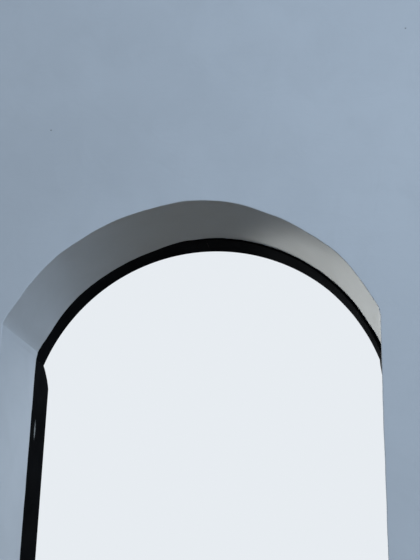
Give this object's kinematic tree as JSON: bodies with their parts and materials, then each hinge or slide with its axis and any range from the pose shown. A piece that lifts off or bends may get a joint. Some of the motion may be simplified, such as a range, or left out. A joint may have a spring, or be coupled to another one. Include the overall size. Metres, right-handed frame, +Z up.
{
  "type": "arched wall gateway",
  "caption": "Thick rendered garden wall bay with a segmental arched gateway, black steel lining and moulded cornice.",
  "frame": {"origin": "on the ground, in the middle of the opening and of the wall's thickness", "axes": "+Z up, the entrance face looks along -Y, the courtyard face with the steel flange along +Y, X runs along the wall"},
  "size_m": [4.5, 1.085, 4.93],
  "materials": {
    "wall_render": "smooth trowelled render under matt white wall paint",
    "black_steel": "satin black paint on steel plate",
    "cast_moulding": "run moulding under matt white wall paint",
    "coping_stone": "cast slab, painted white, weathered on top"
  },
  "bodies": {
    "root": {"pier_left": "wall_render", "pier_right": "wall_render", "spandrel_left": "wall_render", "spandrel_right": "wall_render", "wall_head": "wall_render", "arch_band_left": "black_steel", "arch_band_right": "black_steel", "arch_flange_left": "black_steel", "arch_flange_right": "black_steel", "jamb_liner_left": "black_steel", "jamb_liner_right": "black_steel", "jamb_flange_left": "black_steel", "jamb_flange_right": "black_steel", "cornice_front_1": "cast_moulding", "cornice_front_2": "cast_moulding", "cornice_front_3": "cast_moulding", "cornice_rear_1": "cast_moulding", "cornice_rear_2": "cast_moulding", "cornice_rear_3": "cast_moulding", "coping_1": "coping_stone", "coping_2": "coping_stone", "coping_3": "coping_stone", "coping_4": "coping_stone", "coping_5": "coping_stone"}
  },
  "joints": []
}
